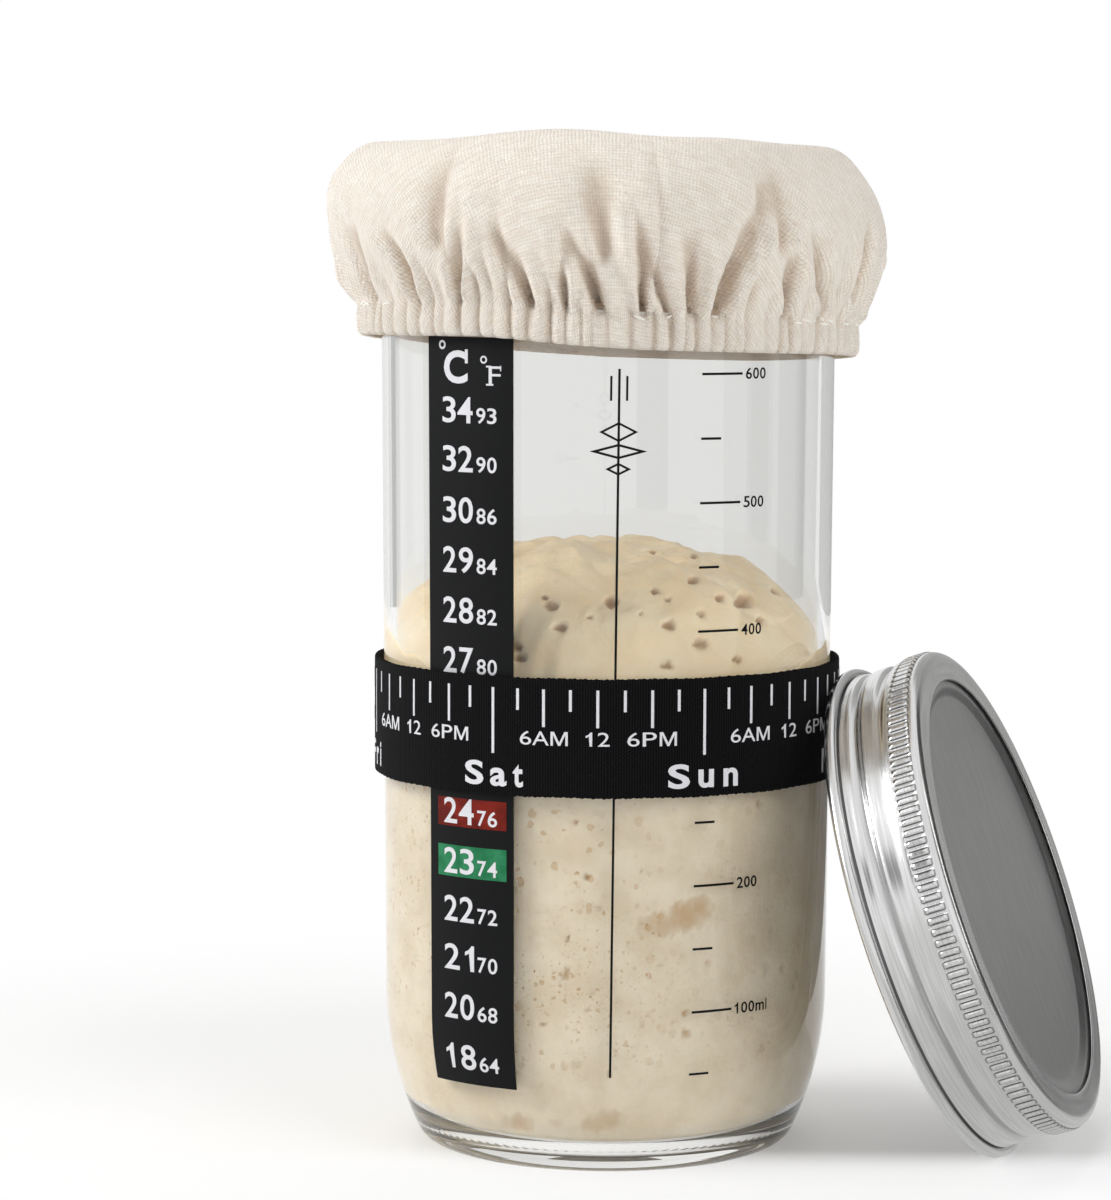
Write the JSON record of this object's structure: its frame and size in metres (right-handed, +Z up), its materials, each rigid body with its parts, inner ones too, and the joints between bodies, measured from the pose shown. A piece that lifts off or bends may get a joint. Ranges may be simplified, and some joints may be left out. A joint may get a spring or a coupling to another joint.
{
  "type": "sourdough starter jar",
  "caption": "Tall glass jar of risen starter with a temperature strip, an elastic day band, a gathered cloth cover and a two-piece metal screw lid leaning beside it.",
  "frame": {"origin": "centre of the jar's foot ring, on the surface it stands on", "axes": "+Z up along the jar's axis; the printed scales face -Y; the lid leans on the +X side"},
  "size_m": [0.1402, 0.1053, 0.1799],
  "materials": {
    "clear_glass": "clear, polished",
    "dough": "moist, bubbly",
    "strip_film": "satin film",
    "black_webbing": "ribbed woven elastic",
    "cream_cloth": "plain weave, unbleached",
    "white_elastic": "braided",
    "bright_tinplate": "bright, satin",
    "brushed_tinplate": "brushed",
    "white_seal": "matt"
  },
  "bodies": {
    "jar": {"glass_jar": "clear_glass", "starter": "dough", "thermometer_strip": "strip_film"},
    "day_band": {"day_band": "black_webbing"},
    "cover": {"cloth_cover": "cream_cloth", "cover_elastic": "white_elastic"},
    "screw_band": {"screw_band": "bright_tinplate"},
    "lid_disc": {"lid_disc": "brushed_tinplate", "lid_seal": "white_seal"}
  },
  "joints": [
    {"name": "band_slide", "type": "slide", "parent": "jar", "child": "day_band", "axis": [0, 0, 1], "range_m": [-0.038, 0.045]},
    {"name": "cover_lift", "type": "slide", "parent": "jar", "child": "cover", "axis": [0, 0, 1], "range_m": [0, 0.06]},
    {"name": "lid_aside", "type": "slide", "parent": "jar", "child": "screw_band", "axis": [0.9568, -0.2907, 0], "range_m": [0, 0.08]},
    {"name": "disc_turn", "type": "hinge", "parent": "screw_band", "child": "lid_disc", "pos_m": [0.05672, -0.00904, 0.0423], "axis": [0.9002, -0.2735, 0.3387], "continuous": true}
  ]
}
